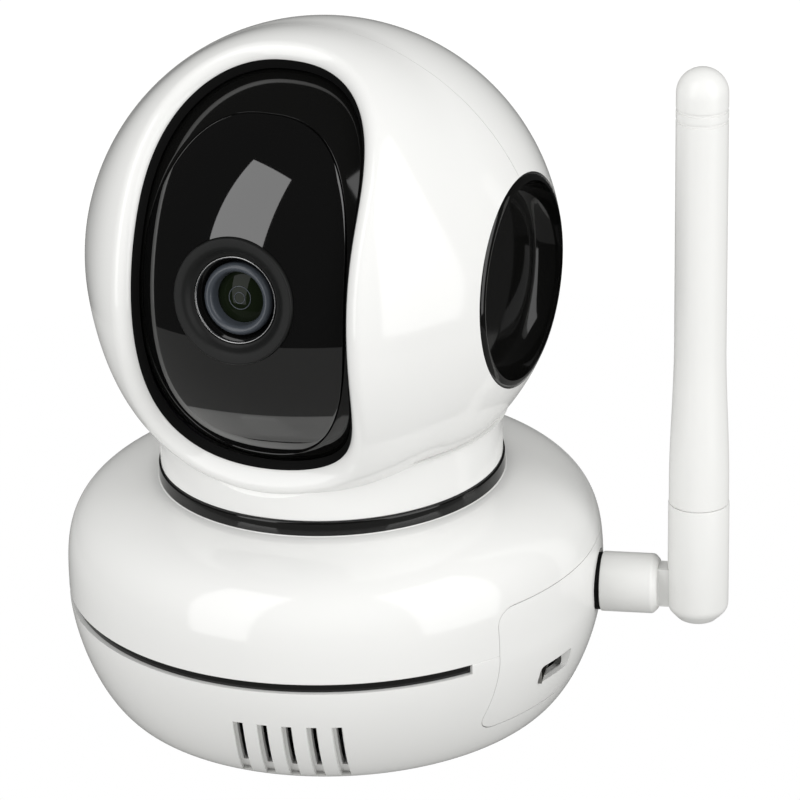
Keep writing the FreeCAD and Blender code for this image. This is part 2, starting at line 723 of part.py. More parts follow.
def camera_ball():
    lens_way = rod("bezel_way", "bezel_radius", "60", "Y", y="-60")
    axle_ways = rod("axle_way", "axle_radius", "80", "X", x="-40")
    away = centre_distance(size("tilt_teeth"))
    shaft_way = rod("tilt_shaft_way", "1.6", "10", "X", x="-ball_half - 1", y=str(away))
    front = meet("ball_front_half", ball_wall("ball_front_wall"), half_space("ball_front_space", True))
    node(carve("ball_front", front, window_prism("window_way"), axle_ways), "ball_front_shell", BALL)
    rear = meet("ball_rear_half", ball_wall("ball_rear_wall"), half_space("ball_rear_space", False))
    rear_axle = rod("axle_way_rear", "axle_radius", "80", "X", x="-40")
    node(carve("ball_rear", rear, rear_axle, shaft_way), "ball_rear_shell", BALL)
    pane = meet("pane", hollow_sphere("pane_wall", "ball_radius", "ball_radius - ball_wall"),
                window_prism("window_oval"))
    node(carve("window_pane", pane, lens_way), "window", BALL)

    axles = [rod("axle%d" % side, "axle_radius", "bracket_outer - ball_half + ball_wall + 1", "X",
                 x="ball_half - ball_wall - 1.2" if side > 0 else "-bracket_outer + 0.2")
             for side in (-1, 1)]
    node(group("axles", axles), "tilt_axles", BALL)

    bezel = tube("bezel_ring", "bezel_radius", "bezel_bore", "bezel_face - bezel_back", "Y", y="-bezel_face")
    flare = cone("bezel_flare", "bezel_bore + 1.2", "bezel_bore", "1.2", "Y", y="-bezel_face")
    node(carve("bezel", bezel, flare), "lens_bezel", BALL)
    node(tube("barrel", "bezel_bore", "barrel_bore", "barrel_face - barrel_back", "Y", y="-barrel_face"),
         "lens_barrel", BALL)
    node(tube("trim", "barrel_bore", "glass_radius", "barrel_face - glass_face + 1.6", "Y",
              y="-barrel_face + 0.1"),
         "lens_trim_ring", BALL)
    disc = rod("glass_disc", "glass_radius", "3", "Y", y="-glass_face")
    dome = globe("glass_dome", "9", y="9 - glass_face")
    node(meet("glass", disc, dome), "lens_glass", BALL)
    node(rod("relay", "barrel_bore", "2.5", "Y", y="-barrel_back - 6"), "relay_lens", BALL)
    camera_electronics(away)


def camera_electronics(away):
    board = centred("sensor_board", "30", "1.6", "26", y="-barrel_back + 0.8")
    node(board, "image_board", BALL)
    node(centred("sensor", "6", "1.2", "5", y="-barrel_back - 0.6"), "image_sensor", BALL)
    ring = tube("led_plate", "17", "bezel_bore", "1.2", "Y", y="-24.5")
    node(ring, "led_board", BALL)
    leds = []
    for number in range(int(size("led_count"))):
        angle = 2 * math.pi * (number + 0.5) / size("led_count")
        spot = {"x": "led_ring * %.9f" % math.cos(angle), "z": "led_ring * %.9f" % math.sin(angle)}
        body = rod("led_body%d" % number, "led_radius", "1.6", "Y", y="-26.1", **spot)
        tip = globe("led_tip%d" % number, "led_radius", y="-26.1", **spot)
        base = rod("led_space%d" % number, "led_radius", "4", "Y", y="-28.1", **spot)
        leds.append(join("led%d" % number, [body, meet("led_dome%d" % number, tip, base)]))
    node(group("leds", leds), "infrared_leds", BALL)
    node(rod("mic", "2", "1.5", "Y", x="9", y="-barrel_back - 1.5", z="9"), "microphone", BALL)

    case = rod("tilt_case", "tilt_motor_radius", "12", "X", x="-ball_half + ball_wall", y=str(away))
    way = rod("tilt_way", "1 + running_gap", "6", "X", x="-ball_half + ball_wall", y=str(away))
    node(carve("tilt_stepper", case, way), "tilt_motor", BALL)

    teeth = int(size("pinion_teeth"))
    toothed = gear("tilt_small", teeth, 2.2, 0, 180 + 180.0 / teeth)
    turn = ACROSS.multiply(toothed.Placement.Rotation)
    toothed.Placement = FreeCAD.Placement(V(-size("bracket_inner") + 0.3, away, 0), turn)
    shaft = rod("tilt_shaft", "1", "7", "X", x="-bracket_inner + 1", y=str(away))
    node(join("tilt_drive_pinion", [toothed, shaft]), "tilt_pinion", BALL)


# ---------------------------------------------------------------- antenna and pairing button

def antenna():
    place = {"z": "antenna_height"}
    tail = rod("bushing_tail", "3", "bushing_face - 36", "Y", y="36", **place)
    flange = rod("bushing_flange", "5.2", "0.9", "Y", y="bushing_face - 0.9", **place)
    bore = rod("bushing_bore", "1.5 + running_gap", "20", "Y", y="30", **place)
    node(carve("bushing", join("bushing_solid", [tail, flange]), bore), "antenna_bushing")
    inner = rod("nut_space", "3", "10", "Y", y="34", **place)
    nut = rod("nut_round", "4.2", "2", "Y", y="base_radius - base_wall - 2.6", **place)
    node(carve("nut", nut, inner), "antenna_nut")

    collar = rod("collar_body", "collar_radius", "collar_end - collar_start - 0.8", "Y", y="collar_start", **place)
    nose = cone("collar_nose", "collar_radius", "collar_radius - 0.8", "0.8", "Y", y="collar_end - 0.8", **place)
    spindle = rod("collar_spindle", "1.5", "7", "Y", y="collar_start - 6", **place)
    tongue = centred("tongue_bar", "tongue_half * 2", "antenna_pivot - collar_end + 1", "tongue_radius * 2",
                     y="(antenna_pivot + collar_end - 1) / 2", z="antenna_height")
    eye = rod("tongue_eye", "tongue_radius", "tongue_half * 2", "X", x="-tongue_half", y="antenna_pivot", **place)
    pin_way = rod("tongue_bore", "hinge_pin + running_gap", "30", "X", x="-15", y="antenna_pivot", **place)
    solid = join("knuckle_solid", [collar, nose, spindle, tongue, eye])
    node(carve("knuckle", solid, pin_way), "antenna_knuckle")

    body = rod("sleeve_body", "sleeve_radius", "sleeve_top - sleeve_foot - sleeve_bevel", y="antenna_pivot",
               z="sleeve_foot + sleeve_bevel")
    foot = cone("sleeve_end", "sleeve_radius - 1.8", "sleeve_radius", "sleeve_bevel", y="antenna_pivot", z="sleeve_foot")
    slot = block("sleeve_slot", "(tongue_half + slot_gap) * 2", "sleeve_radius * 2",
                 "antenna_height + tongue_radius + slot_gap", x="-tongue_half - slot_gap",
                 y="antenna_pivot + tongue_radius + slot_gap - sleeve_radius * 2", z="0")
    pin_hole = rod("sleeve_bore", "hinge_pin", "30", "X", x="-15", y="antenna_pivot", **place)
    node(carve("sleeve", join("sleeve_solid", [body, foot]), slot, pin_hole), "antenna_sleeve", WHIP)
    node(rod("pin", "hinge_pin", "sleeve_radius * 2 - 1.6", "X", x="-sleeve_radius + 0.8", y="antenna_pivot",
             **place), "hinge_pin", WHIP)

    low = rod("whip_low", "whip_low_radius", "whip_band", y="antenna_pivot", z="sleeve_top")
    taper = cone("whip_cone", "whip_low_radius", "whip_radius", "whip_taper - sleeve_top - whip_band",
                 y="antenna_pivot", z="sleeve_top + whip_band")
    stem = rod("whip_stem", "whip_radius", "whip_top - whip_radius - whip_taper", y="antenna_pivot",
               z="whip_taper")
    tip = globe("whip_tip", "whip_radius", y="antenna_pivot", z="whip_top - whip_radius")
    core = rod("whip_core", "1", "whip_top - sleeve_top - 10", y="antenna_pivot", z="sleeve_top")
    grooves = [tube("whip_ring%d" % number, "whip_radius + 1", "whip_radius - 0.25", "0.4", y="antenna_pivot",
                    z="whip_top - 6.6 - 1.7 * %d" % number) for number in range(2)]
    node(carve("whip", join("whip_solid", [low, taper, stem, tip]), core, *grooves), "antenna_whip", WHIP)
    node(rod("radiator", "1", "whip_top - sleeve_top - 10.2", y="antenna_pivot", z="sleeve_top"),
         "antenna_radiator", WHIP)


def pair_button():
    place = {"x": "-usb_across", "z": "button_height"}
    stem = rod("button_stem", "button_radius", "button_face - button_back - 0.5", "Y", y="button_back", **place)
    crown = cone("button_crown", "button_radius", "button_radius - 0.4", "0.5", "Y", y="button_face - 0.5",
                 **place)
    flange = rod("button_flange", "button_radius + 0.8", "0.9", "Y", y="button_back", **place)
    node(join("button", [stem, crown, flange]), "pair_button")


for build in (base_lower_shell, base_upper_shell, groove_band, base_fixings, rear_panel, boards, usb_socket,
              speaker, pan_drive, head_shells, ears_and_brackets, camera_ball, antenna, pair_button):
    build()

doc.recompute()

for thing in doc.Objects:
    if "Invalid" in thing.State or "Error" in thing.State:
        raise RuntimeError("failed object: " + thing.Name)

os.makedirs("parts", exist_ok=True)
for label, thing in NODES.items():
    if thing.Shape.isNull() or not thing.Shape.isValid():
        raise RuntimeError("bad shape: " + label)
    if not thing.Shape.Solids:
        raise RuntimeError("no solid: " + label)
    thing.Shape.exportStep("parts/%s.step" % label)
    print(label, len(thing.Shape.Solids), round(thing.Shape.Volume, 1))
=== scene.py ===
import json
import math

import bmesh
import bpy
import numpy as np
from mathutils import Matrix


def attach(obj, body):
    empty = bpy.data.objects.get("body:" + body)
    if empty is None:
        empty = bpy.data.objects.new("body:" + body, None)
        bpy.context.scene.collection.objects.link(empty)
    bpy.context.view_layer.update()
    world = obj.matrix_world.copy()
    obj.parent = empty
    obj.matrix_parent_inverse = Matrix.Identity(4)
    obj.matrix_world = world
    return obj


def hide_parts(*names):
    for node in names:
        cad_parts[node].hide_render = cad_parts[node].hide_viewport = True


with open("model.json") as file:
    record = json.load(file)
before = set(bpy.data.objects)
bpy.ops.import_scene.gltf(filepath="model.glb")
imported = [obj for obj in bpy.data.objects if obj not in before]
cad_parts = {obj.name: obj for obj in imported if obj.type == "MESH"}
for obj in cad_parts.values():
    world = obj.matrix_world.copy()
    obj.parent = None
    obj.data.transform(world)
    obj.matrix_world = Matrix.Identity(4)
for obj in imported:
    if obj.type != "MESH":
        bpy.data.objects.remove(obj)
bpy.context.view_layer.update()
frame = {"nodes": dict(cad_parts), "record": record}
cad = frame["nodes"]

# Base shells.  Two glossy white ABS mouldings, screwed together from below.  Each is a turned
# form: the belly and the shoulder are quarters of a superellipse that meet at the widest ring.
BASE_WIDE = 0.04216
BASE_WIDEST = 0.0192
BASE_UNDERSIDE = 0.00065
BASE_FOOT = 0.034
BASE_CROWN = 0.0389
BASE_SEAM = 0.0201
BASE_OPENING = 0.0273
BASE_WALL = 0.0024
BELLY_POWER = 1.565
SHOULDER_POWER = 3.93
EDGE = 0.0001
BAND_LOW = BASE_SEAM - 0.00155
BAND_ENDS_AT = 0.0273


def moulded_plastic(name, color, roughness, ripple, mottle, specular=0.5, coat=0.0):
    """A plastic: one colour that drifts a little over the piece, with a fine ripple in its
    skin and a gloss that varies by the mottle."""
    material = bpy.data.materials.new(name)
    material.use_nodes = True
    tree = material.node_tree
    shader = tree.nodes["Principled BSDF"]
    shader.inputs["Specular IOR Level"].default_value = specular
    shader.inputs["Coat Weight"].default_value = coat
    place = tree.nodes.new("ShaderNodeTexCoord")
    drift = tree.nodes.new("ShaderNodeTexNoise")
    drift.inputs["Scale"].default_value = 45.0
    drift.inputs["Detail"].default_value = 3.0
    tree.links.new(place.outputs["Object"], drift.inputs["Vector"])
    tint = tree.nodes.new("ShaderNodeMix")
    tint.data_type = "RGBA"
    tint.inputs["A"].default_value = (*(0.985 * part for part in color), 1.0)
    tint.inputs["B"].default_value = (*(min(1.0, 1.015 * part) for part in color), 1.0)
    tree.links.new(drift.outputs["Fac"], tint.inputs["Factor"])
    tree.links.new(tint.outputs["Result"], shader.inputs["Base Color"])
    gloss = tree.nodes.new("ShaderNodeMapRange")
    gloss.inputs["To Min"].default_value = max(0.0, roughness - mottle)
    gloss.inputs["To Max"].default_value = roughness + mottle
    tree.links.new(drift.outputs["Fac"], gloss.inputs["Value"])
    tree.links.new(gloss.outputs["Result"], shader.inputs["Roughness"])
    skin = tree.nodes.new("ShaderNodeTexNoise")
    skin.inputs["Scale"].default_value = 1400.0
    skin.inputs["Detail"].default_value = 2.0
    tree.links.new(place.outputs["Object"], skin.inputs["Vector"])
    bump = tree.nodes.new("ShaderNodeBump")
    bump.inputs["Strength"].default_value = ripple
    bump.inputs["Distance"].default_value = 0.00002
    tree.links.new(skin.outputs["Fac"], bump.inputs["Height"])
    tree.links.new(bump.outputs["Normal"], shader.inputs["Normal"])
    return material


white_gloss = moulded_plastic("white_gloss", (0.80, 0.80, 0.788), 0.10, 0.02, 0.015)


def skin_mesh(name, points, closed_rows=False, closed_columns=True):
    """A mesh over a grid of points, rows by columns.  Columns join up round the piece, rows
    join up where the section is a loop, and open ends are closed with one flat face each."""
    rows, columns = points.shape[:2]
    index = np.arange(rows * columns).reshape(rows, columns)
    if closed_rows:
        index = np.vstack([index, index[:1]])
    if closed_columns:
        index = np.hstack([index, index[:, :1]])
    quads = np.stack([index[:-1, :-1], index[:-1, 1:], index[1:, 1:], index[1:, :-1]], axis=-1)
    faces = quads.reshape(-1, 4).tolist()
    if closed_columns and not closed_rows:
        faces += [index[0, :-1][::-1].tolist(), index[-1, :-1].tolist()]
    if closed_rows and not closed_columns:
        faces += [index[:-1, 0].tolist(), index[:-1, -1][::-1].tolist()]
    mesh = bpy.data.meshes.new(name)
    mesh.from_pydata(points.reshape(-1, 3), [], faces)
    return mesh


def finished(name, mesh, material, body, stands_for=(), sharp=35.0):
    """Puts a mesh in the scene as a piece: doubles merged, faces outwards, smooth except at
    its sharp edges, riding on its body and standing for its CAD nodes."""
    work = bmesh.new()
    work.from_mesh(mesh)
    bmesh.ops.remove_doubles(work, verts=work.verts, dist=1e-7)
    bmesh.ops.recalc_face_normals(work, faces=work.faces)
    if work.calc_volume(signed=True) < 0:
        bmesh.ops.reverse_faces(work, faces=work.faces)
    work.to_mesh(mesh)
    work.free()
    mesh.shade_smooth()
    mesh.set_sharp_from_angle(angle=math.radians(sharp))
    mesh.materials.clear()
    mesh.materials.append(material)
    piece = bpy.data.objects.new(name, mesh)
    bpy.context.scene.collection.objects.link(piece)
    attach(piece, body)
    if stands_for:
        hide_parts(*stands_for)
    return piece


def solid(mesh):
    """A scratch object for cutting, faces outwards."""
    work = bmesh.new()
    work.from_mesh(mesh)
    bmesh.ops.remove_doubles(work, verts=work.verts, dist=1e-7)
    bmesh.ops.recalc_face_normals(work, faces=work.faces)
    if work.calc_volume(signed=True) < 0:
        bmesh.ops.reverse_faces(work, faces=work.faces)
    work.to_mesh(mesh)
    work.free()
    scratch = bpy.data.objects.new(mesh.name, mesh)
    bpy.context.scene.collection.objects.link(scratch)
    return scratch


def shaped(mesh, tools, operation="DIFFERENCE"):
    """The mesh less the tools, or what it shares with them.  The tools are used up."""
    body = solid(mesh)
    cutters = [solid(tool) for tool in tools]
    for cutter in cutters:
        step = body.modifiers.new("cut", "BOOLEAN")
        step.operation = operation
        step.solver = "EXACT"
        step.object = cutter
    graph = bpy.context.evaluated_depsgraph_get()
    result = bpy.data.meshes.new_from_object(body.evaluated_get(graph))
    for scratch in (body, *cutters):
        bpy.data.objects.remove(scratch)
    return result


def turned(radii, heights, columns=360, start=0.0, end=360.0):
    """A profile carried round the Z axis: x and y are the radius times the cosine and the
    sine of the angle.  A full turn leaves out the last column, which is the first again."""
    full = end - start >= 360.0
    angle = np.radians(np.linspace(start, end, columns, endpoint=not full))
    radii = np.asarray(radii, float)[:, None]
    heights = np.asarray(heights, float)[:, None]
    return np.stack([radii * np.cos(angle), radii * np.sin(angle), heights + 0 * angle], axis=-1)


def rounded_section(corners, radius, steps=5):
    """A closed polygon of (radius, height) corners with each corner rounded: the arc is drawn
    as a quadratic curve from one side to the next, with the corner as its middle point."""
    corners = np.asarray(corners, float)
    before = np.roll(corners, 1, axis=0) - corners
    after = np.roll(corners, -1, axis=0) - corners
    reach = np.broadcast_to(np.asarray(radius, float), (len(corners),))
    back = corners + before / np.linalg.norm(before, axis=1)[:, None] * reach[:, None]
    ahead = corners + after / np.linalg.norm(after, axis=1)[:, None] * reach[:, None]
    t = np.linspace(0, 1, steps)[None, :, None]
    arcs = (1 - t) ** 2 * back[:, None] + 2 * t * (1 - t) * corners[:, None] + t**2 * ahead[:, None]
    return arcs.reshape(-1, 2)


def base_radius_at(height):
    """The casing's radius at a height: a superellipse from the foot up to the widest ring,
    and another from there to the crown."""
    below = np.clip((BASE_WIDEST - height) / (BASE_WIDEST - BASE_UNDERSIDE), 0, 1)
    above = np.clip((height - BASE_WIDEST) / (BASE_CROWN - BASE_WIDEST), 0, 1)
    belly = BASE_FOOT + (BASE_WIDE - BASE_FOOT) * (1 - below**BELLY_POWER) ** (1 / BELLY_POWER)
    shoulder = BASE_WIDE * (1 - above**SHOULDER_POWER) ** (1 / SHOULDER_POWER)
    return np.where(height < BASE_WIDEST, belly, shoulder)


def shell_skin(name, heights):
    """A casing shell as a ring: its outside at those heights, its edges eased, and its
    inside a wall further in."""
    outer = base_radius_at(heights)
    inner = outer - BASE_WALL
    radii = np.concatenate([[inner[0]], outer[:1] - EDGE, outer, outer[-1:] - EDGE, inner[::-1][:-1]])
    levels = np.concatenate([[heights[0]], heights[:1], heights, heights[-1:], heights[::-1][:-1]])
    radii[2] = outer[0]
    levels[2] = heights[0] + EDGE
    radii[len(heights) + 1] = outer[-1]
    levels[len(heights) + 1] = heights[-1] - EDGE
    return skin_mesh(name, turned(radii, levels, columns=480), closed_rows=True)


def rounded_bar(name, half_x, low_z, high_z, corner, near_y, far_y, steps=10):
    """A bar along Y whose section is a rectangle with quarter-round corners."""
    turn = np.linspace(0, math.pi / 2, steps)
    arc = np.stack([np.cos(turn), np.sin(turn)], axis=-1) * corner
    middle = np.array([0.0, (low_z + high_z) / 2])
    reach = np.array([half_x - corner, (high_z - low_z) / 2 - corner])
    quarter = np.array([[0, -1], [1, 0]])
    sides = []
    spin = np.eye(2)
    for sign in ((1, 1), (-1, 1), (-1, -1), (1, -1)):
        sides.append(arc @ spin.T + reach * sign + middle)
        spin = quarter @ spin
    outline = np.concatenate(sides)
    rows = [np.stack([outline[:, 0], np.full(len(outline), y), outline[:, 1]], axis=-1)
            for y in (near_y, far_y)]
    return skin_mesh(name, np.stack(rows))


PANEL_HALF = 0.0286
PANEL_LOW = 0.0069
PANEL_HIGH = 0.0275
PANEL_CORNER = 0.00275
PANEL_GAP = 0.0001


def panel_outline(name, grow):
    """The outline of the rear panel as a bar that runs out through the back of the casing."""
    return rounded_bar(name, PANEL_HALF + grow, PANEL_LOW - grow, PANEL_HIGH + grow, PANEL_CORNER + grow,
                       0.020, 0.060)


VENT_PITCH = 0.00385
VENT_GROOVE = (0.000825, 0.0015, 0.0124, 0.0012)    # half width, foot, top, depth
VENT_SLIT = (0.000425, 0.0037, 0.0119, 0.006)


def vent_cutters():
    """Five upright grooves on each flank, and a narrower slit through the floor of each.  A
    groove's floor follows the casing at a set depth."""
    levels = np.linspace(0, 1, 24)
    tools = []
    for side in (-1, 1):
        for step in range(-2, 3):
            middle = step * VENT_PITCH
            for half, low, high, depth in (VENT_GROOVE, VENT_SLIT):
                height = low + (high - low) * levels
                floor = np.sqrt((base_radius_at(height) - depth) ** 2 - middle**2)
                near = np.full_like(height, middle - half)
                far = np.full_like(height, middle + half)
                outside = np.full_like(height, side * 0.06)
                corners = ((side * floor, near), (side * floor, far), (outside, far), (outside, near))
                ring = [np.stack([x, y, height], axis=-1) for x, y in corners]
                tools.append(skin_mesh("vent", np.stack(ring, axis=1)))
    return tools


band_angle = math.degrees(math.asin(BAND_ENDS_AT / BASE_WIDE))
groove_section = [(BASE_WIDE - 0.0017, BAND_LOW), (0.06, BAND_LOW), (0.06, BASE_SEAM + 0.001),
                  (BASE_WIDE - 0.0017, BASE_SEAM + 0.001)]
groove = skin_mesh("groove", turned(*np.transpose(groove_section), columns=320, start=180.0 - band_angle,
                                    end=360.0 + band_angle), closed_rows=True, closed_columns=False)
belly_levels = BASE_UNDERSIDE + (BASE_SEAM - BASE_UNDERSIDE) * (1 - np.cos(np.linspace(0, math.pi / 2, 44)))
lower = shaped(shell_skin("lower", belly_levels),
               [groove, panel_outline("panel_gap", PANEL_GAP), *vent_cutters()])
finished("base_lower_skin", lower, white_gloss, "base")
floor_low = BASE_UNDERSIDE + 0.00005
floor_high = 0.0028
floor_plate = turned([1e-6, BASE_FOOT - 0.0012, BASE_FOOT - 0.0004, BASE_FOOT - 0.0012, 1e-6],
                     [floor_low, floor_low, BASE_UNDERSIDE + 0.0006, floor_high, floor_high])
finished("base_floor", skin_mesh("floor", floor_plate), white_gloss, "base",
         ["base_lower_shell"])

opening_rise = (1 - (BASE_OPENING / BASE_WIDE) ** SHOULDER_POWER) ** (1 / SHOULDER_POWER)
opening_height = BASE_WIDEST + (BASE_CROWN - BASE_WIDEST) * opening_rise
turn_over = np.linspace(0, 1, 60) ** 0.6
shoulder_levels = BASE_SEAM + (opening_height - BASE_SEAM) * turn_over
upper = shaped(shell_skin("upper", shoulder_levels), [panel_outline("panel_gap", PANEL_GAP)])
finished("base_upper_skin", upper, white_gloss, "base", ["base_upper_shell"])

# Band.  A strip of glossy black ABS pressed into the groove under the seam; it runs round the
# front and stops just short of the rear panel on both sides.
black_gloss = moulded_plastic("black_gloss", (0.004, 0.004, 0.0038), 0.07, 0.02, 0.02)
band_section = rounded_section([(0.0405, BAND_LOW), (0.04145, BAND_LOW), (0.04145, BASE_SEAM),
                                (0.0405, BASE_SEAM)], 0.0002)
band_ring = turned(*band_section.T, columns=360, start=180.0 - band_angle, end=360.0 + band_angle)
band = skin_mesh("band", band_ring, closed_rows=True, closed_columns=False)
finished("black_band", band, black_gloss, "base", ["groove_band"])

# Rear panel.  A separate white moulding set flush in both shells, with the inlet's mouth, the
# pairing button's hole and the antenna's seat.
AERIAL_HEIGHT = 0.0201
PORT_ACROSS = 0.0169
port = rounded_bar("port", 0.0039, 0.0117, 0.0147, 0.0007, 0.025, 0.06)
port.transform(Matrix.Translation((PORT_ACROSS, 0, 0)))


relief = rounded_bar("relief", 0.0050, 0.0112, 0.0158, 0.0012, 0.028, 0.0398)
relief.transform(Matrix.Rotation(-math.asin(PORT_ACROSS / 0.0415), 4, "Z"))


def bar_along_y(name, radius, near_y, far_y, x=0.0, z=0.0, columns=96):
    """A round bar along Y."""
    angle = np.linspace(0, 2 * math.pi, columns, endpoint=False)
    rows = [np.stack([x + radius * np.cos(angle), np.full(columns, y), z + radius * np.sin(angle)], axis=-1)
            for y in (near_y, far_y)]
    return skin_mesh(name, np.stack(rows))


BUTTON_HEIGHT = 0.016
whole_levels = np.concatenate([belly_levels[12:-1], shoulder_levels[:40]])
panel = shaped(shell_skin("panel", whole_levels), [panel_outline("panel_line", -0.00002)], "INTERSECT")
panel = shaped(panel, [relief, port,
                       bar_along_y("button_hole", 0.00205, 0.02, 0.06, -PORT_ACROSS, BUTTON_HEIGHT),
                       bar_along_y("seat", 0.0052, 0.0416, 0.06, 0, AERIAL_HEIGHT)])
finished("rear_cover", panel, white_gloss, "base", ["rear_panel"])


# Head.  A white sphere moulded in a front and a rear half, which meet in the plane of the side
# caps.  The face opening is a long oval drawn on the sphere, and a raised lip runs round it.
HEAD_Z = 0.0732
HEAD_R = 0.0368
OPENING_HALF = 0.0181
OPENING_MIDDLE = math.radians(27.6)
OPENING_UP = math.radians(47.3)
OPENING_DOWN = math.radians(72.3)
LIP_EDGE = 0.0360
PAN_REST = math.radians(77.0)
TILT_REST = math.radians(8.1)


def turn_x(points, angle):
    """Points turned about X."""
    c, s = math.cos(angle), math.sin(angle)
    return points @ np.array([[1, 0, 0], [0, c, s], [0, -s, c]])


def turn_z(points, angle):
    """Points turned about Z."""
    c, s = math.cos(angle), math.sin(angle)
    return points @ np.array([[c, s, 0], [-s, c, 0], [0, 0, 1]])


def in_head(points):
    """From the head's own axes, with X across and -Y ahead, to where it stands at rest."""
    return turn_z(points, PAN_REST) + np.array([0, 0, HEAD_Z])


def in_ball(points):
    """From the camera ball's own axes to where it stands at rest."""
    return in_head(turn_x(points, -TILT_REST))


def oval(spread, upper_power, lower_power):
    """The unit superellipse by its polar angle: the radius is (|cos|^n + |sin|^n)^(-1/n),
    with one power n above and another below.  Gives across and up."""
    power = np.where(np.sin(spread) >= 0, upper_power, lower_power)
    radius = (np.abs(np.cos(spread)) ** power + np.abs(np.sin(spread)) ** power) ** (-1 / power)
    return radius * np.cos(spread), radius * np.sin(spread)


def opening_directions(spread, grow):
    """Unit directions from the head's centre to the opening's outline, widened all round by
    a distance on the sphere: across is a distance, up and down are angles of elevation."""
    across, up = oval(spread, 2.6, 5.0)
    across = np.clip((OPENING_HALF + grow) * across / HEAD_R, -0.999, 0.999)
    rise = OPENING_MIDDLE + np.where(up >= 0, OPENING_UP + grow / HEAD_R, OPENING_DOWN + grow / HEAD_R) * up
    reach = np.sqrt(1 - across**2)
    return np.stack([across, -reach * np.cos(rise), reach * np.sin(rise)], axis=-1)


def swept_back(start, pole, share):
    """Directions on the arcs from the start directions to a pole, at a share of the way."""
    angle = np.arccos(np.clip(start @ pole, -1, 1))[..., None]
    return (np.sin((1 - share) * angle) * start + np.sin(share * angle) * pole) / np.sin(angle)


LIP_ROLL = 0.0017
LIP_FALL = 0.0120


def lip_height(distance, crest):
    """Radius of the head near the opening: from the edge it rises in a quarter ellipse to
    the crest, and then falls in a smooth step to the sphere."""
    rise = np.clip(distance / LIP_ROLL, 0, 1)
    edge = LIP_EDGE + (crest - LIP_EDGE) * np.sqrt(1 - (1 - rise) ** 2)
    fall = np.clip((distance - LIP_ROLL) / LIP_FALL, 0, 1)
    step = fall * fall * (3 - 2 * fall)
    return np.where(distance < LIP_ROLL, edge, crest + (HEAD_R - crest) * step)


spread = np.linspace(0, 2 * math.pi, 540, endpoint=False)
middle_rise = OPENING_MIDDLE + (OPENING_UP - OPENING_DOWN) / 2
back_pole = np.array([0, math.cos(middle_rise), -math.sin(middle_rise)])
lip_steps = np.concatenate([LIP_ROLL * (1 - np.cos(np.linspace(0, math.pi / 2, 12))),
                            np.linspace(LIP_ROLL, LIP_ROLL + LIP_FALL, 32)[1:]])
low_share = np.clip(-np.sin(spread), 0, 1) ** 3
rows = []
for distance in lip_steps:
    crest = 0.0382 + 0.0009 * low_share
    rows.append(opening_directions(spread, distance) * lip_height(distance, crest)[:, None])
last = opening_directions(spread, lip_steps[-1])
for share in np.linspace(0, 0.998, 110)[1:]:
    rows.append(swept_back(last, back_pole, share) * HEAD_R)
head_inside = HEAD_R - 0.0022
liner_seat = 0.03597
inner = [swept_back(last, back_pole, share) * head_inside for share in np.linspace(0.998, 0, 40)]
inner += [opening_directions(spread, out) * radius for out, radius in
          ((0.004, head_inside), (0.0016, head_inside), (0.0016, liner_seat), (0.00001, liner_seat))]
head_grid = np.stack(inner + rows)
ear_bars = []
for side in (-1, 1):
    angle = np.linspace(0, 2 * math.pi, 240, endpoint=False)
    ends = [np.stack([np.full(240, side * x), 0.0166 * np.cos(angle), 0.0166 * np.sin(angle)], axis=-1)
            for x in (0.024, 0.05)]
    ear_bars.append(skin_mesh("ear_way", in_head(np.stack(ends))))
parting = np.array([[[x, y, z] for x, z in ((-0.05, -0.05), (0.05, -0.05), (0.05, 0.05), (-0.05, 0.05))]
                    for y in (-0.00004, 0.00004)])
head = shaped(skin_mesh("head", in_head(head_grid)), [*ear_bars, skin_mesh("parting", in_head(parting))])
finished("head_skin", head, white_gloss, "head", ["head_front_shell", "head_rear_shell"],
         sharp=50)

# Neck and turntable.  The white collar stands on a glossy black turntable ring, and both turn
# with the head.  The collar meets the head in a small hollow curve, and is cut back where the
# lip of the opening runs down over it.
NECK_R = 0.0268
NECK_FOOT = 0.04015
NECK_TOP = HEAD_Z - math.sqrt(HEAD_R**2 - NECK_R**2)
flare = np.linspace(0, math.pi / 2, 10)
hollow = 0.0011
neck_radii = np.concatenate([[NECK_R - 0.0024, NECK_R - 0.0002, NECK_R],
                             NECK_R + hollow * (1 - np.cos(flare)), [NECK_R - 0.0024]])
neck_levels = np.concatenate([[NECK_FOOT, NECK_FOOT, NECK_FOOT + 0.0002],
                              NECK_TOP + 0.0004 - hollow * (1 - np.sin(flare)), [NECK_TOP + 0.0006]])
mouth_rim = opening_directions(spread[::3], 0.0020)
clear = [mouth_rim * 0.012]
clear += [swept_back(mouth_rim, -back_pole, share) * 0.05 for share in (0, 0.3, 0.6, 0.8, 0.95)]
collar = shaped(skin_mesh("collar", turned(neck_radii, neck_levels), closed_rows=True),
                [skin_mesh("clear", in_head(np.stack(clear)))])
finished("neck_skin", collar, white_gloss, "head", ["neck_collar"])
table_low = 0.0351
table_high = NECK_FOOT - 0.00004
table_section = rounded_section([(0.0226, table_low), (0.0271, table_low), (0.0271, table_high),
                                 (0.0226, table_high)], 0.0003)
finished("turntable_ring", skin_mesh("table", turned(*table_section.T), closed_rows=True), black_gloss,
         "head", ["turntable"])

# Liner.  A matt black ring clipped in behind the lip, in the gap round the ball; its black is painted shade
# that stands for the shadow down in that gap.
black_matte = moulded_plastic("black_matte", (0.0035, 0.0035, 0.0035), 0.75, 0.3, 0.05, specular=0.15)
gap_shade_section = ((0.0, 0.03595), (0.0, 0.0352), (0.0, 0.0344), (0.0014, 0.0344), (0.0014, 0.03595))
gap_shade_rows = [opening_directions(spread, out) * radius for out, radius in gap_shade_section]
finished("mouth_gap_shade", skin_mesh("liner", in_head(np.stack(gap_shade_rows)), closed_rows=True), black_matte,
         "head", ["opening_liner"])

